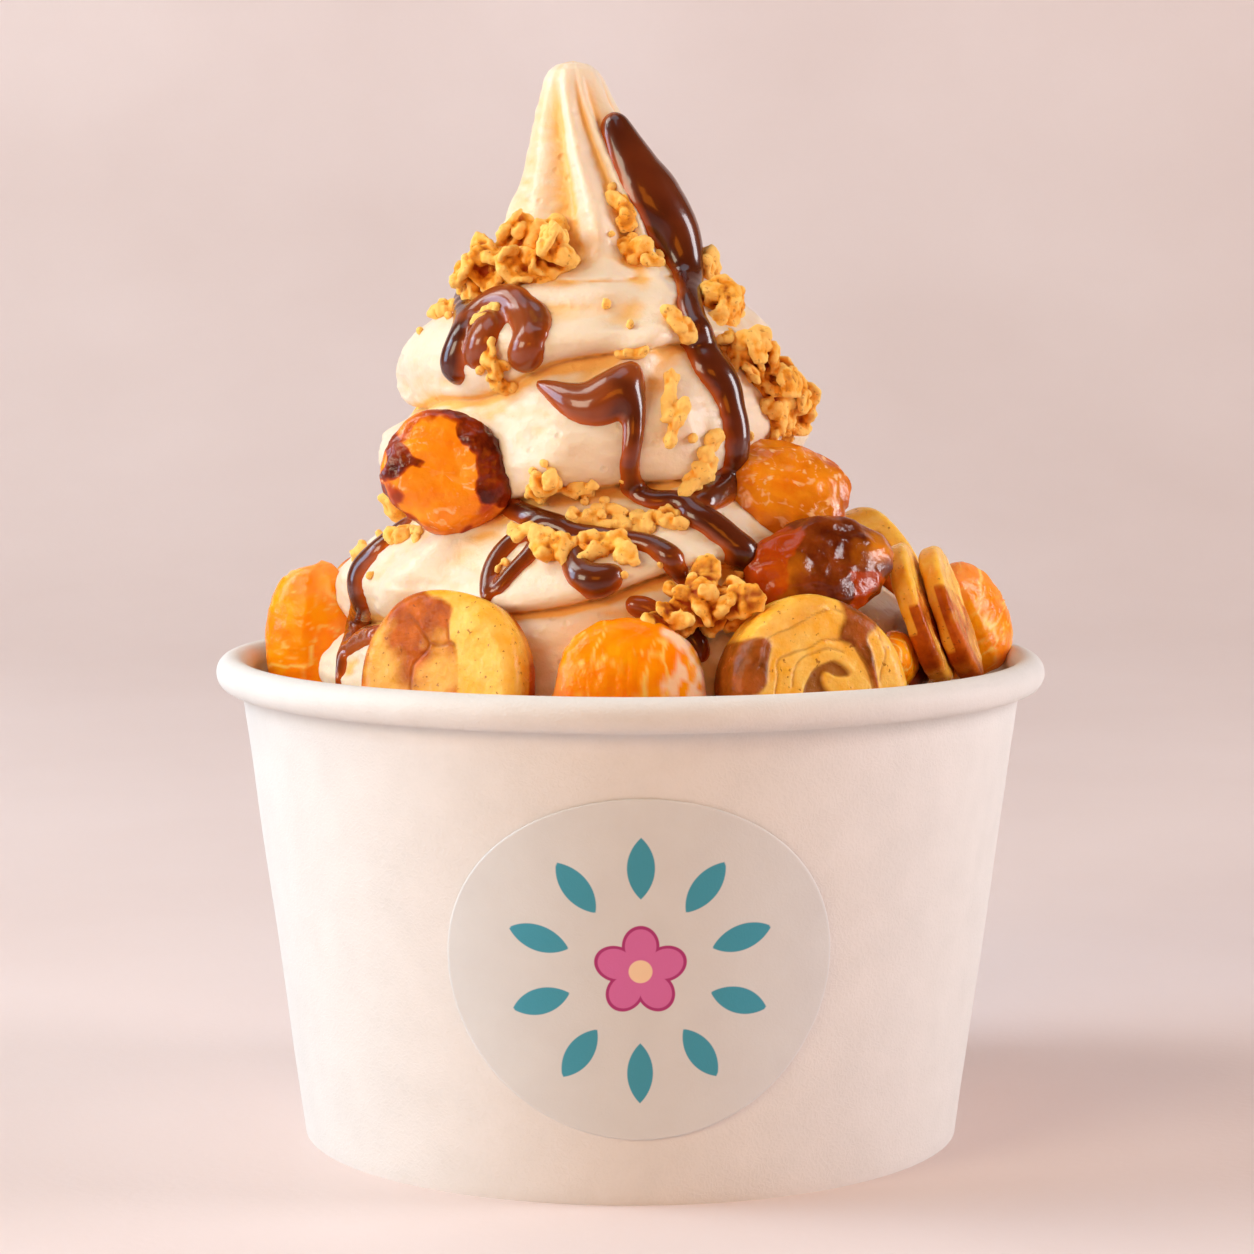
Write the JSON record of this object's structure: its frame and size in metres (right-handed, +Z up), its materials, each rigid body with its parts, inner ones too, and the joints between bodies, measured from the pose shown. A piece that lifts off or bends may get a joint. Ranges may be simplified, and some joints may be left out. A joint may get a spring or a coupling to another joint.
{
  "type": "frozen yogurt cup",
  "caption": "Paper cup with a rolled rim holding a tall soft-serve swirl with chocolate sauce, granola, mandarin segments and banana slices.",
  "frame": {"origin": "middle of the cup's foot, on the surface it stands on", "axes": "+Z up along the cup, -Y towards the side with the label, +X to the right of it"},
  "size_m": [0.115, 0.115, 0.1497],
  "materials": {
    "paper": "uncoated outside, slightly fibrous",
    "label": "thin translucent sticker, satin",
    "yogurt": "soft, moist, slightly glossy",
    "mandarin": "juicy, wet gloss",
    "banana": "moist, browned in places",
    "caramel": "glossy caramelised sugar",
    "granola": "dry, rough, toasted",
    "sauce": "glossy dark chocolate"
  },
  "bodies": {
    "root": {"cup_wall": "paper", "cup_base": "paper", "label": "label", "mandarin_front": "mandarin", "mandarin_left": "mandarin", "mandarin_right": "mandarin", "mandarin_right_low": "mandarin", "mandarin_back_left": "mandarin", "mandarin_back_right": "mandarin", "banana_left": "banana", "banana_roll": "banana", "banana_edge_near": "banana", "banana_edge_far": "banana", "banana_back_right": "banana", "banana_back_middle": "banana", "banana_back_left": "banana", "caramel_left": "caramel", "caramel_right_top": "caramel", "caramel_right_low": "caramel", "caramel_back": "caramel", "caramel_back_left": "caramel", "granola_upper_left": "granola", "granola_right_high": "granola", "granola_right_low": "granola", "granola_front": "granola", "granola_back": "granola", "granola_back_right": "granola", "yogurt": "yogurt"}
  },
  "joints": []
}
